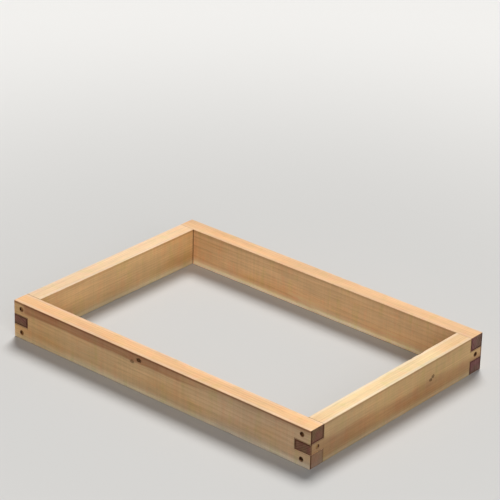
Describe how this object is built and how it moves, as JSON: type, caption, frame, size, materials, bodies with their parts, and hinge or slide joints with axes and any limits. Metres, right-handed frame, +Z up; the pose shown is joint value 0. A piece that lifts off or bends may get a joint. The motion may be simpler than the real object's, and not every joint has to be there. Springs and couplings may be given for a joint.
{
  "type": "screen printing frame",
  "caption": "Bare rectangular wooden screen printing frame: rails on edge, three-fingered corner joints held by sunk nails, open window for the mesh.",
  "frame": {"origin": "middle of the frame's outside rectangle, on the plane of its lower edges", "axes": "+X along the long rails, +Y from the front rail to the back rail, +Z up from the face that lies on the table"},
  "size_m": [0.425, 0.294, 0.045],
  "materials": {
    "front_rail_wood": "planed bare softwood, faces tan, upper face lighter",
    "back_rail_wood": "planed bare softwood, faces tan, upper face lighter",
    "left_rail_wood": "planed bare softwood, slightly paler",
    "right_rail_wood": "planed bare softwood, slightly paler",
    "nail_steel": "bare wire nail, darkened"
  },
  "bodies": {
    "root": {"front_rail": "front_rail_wood", "back_rail": "back_rail_wood", "left_rail": "left_rail_wood", "right_rail": "right_rail_wood", "nail_front_left_upper": "nail_steel", "nail_front_left_middle": "nail_steel", "nail_front_left_lower": "nail_steel", "nail_front_right_upper": "nail_steel", "nail_front_right_middle": "nail_steel", "nail_front_right_lower": "nail_steel", "nail_back_left_upper": "nail_steel", "nail_back_left_middle": "nail_steel", "nail_back_left_lower": "nail_steel", "nail_back_right_upper": "nail_steel", "nail_back_right_middle": "nail_steel", "nail_back_right_lower": "nail_steel"}
  },
  "joints": []
}
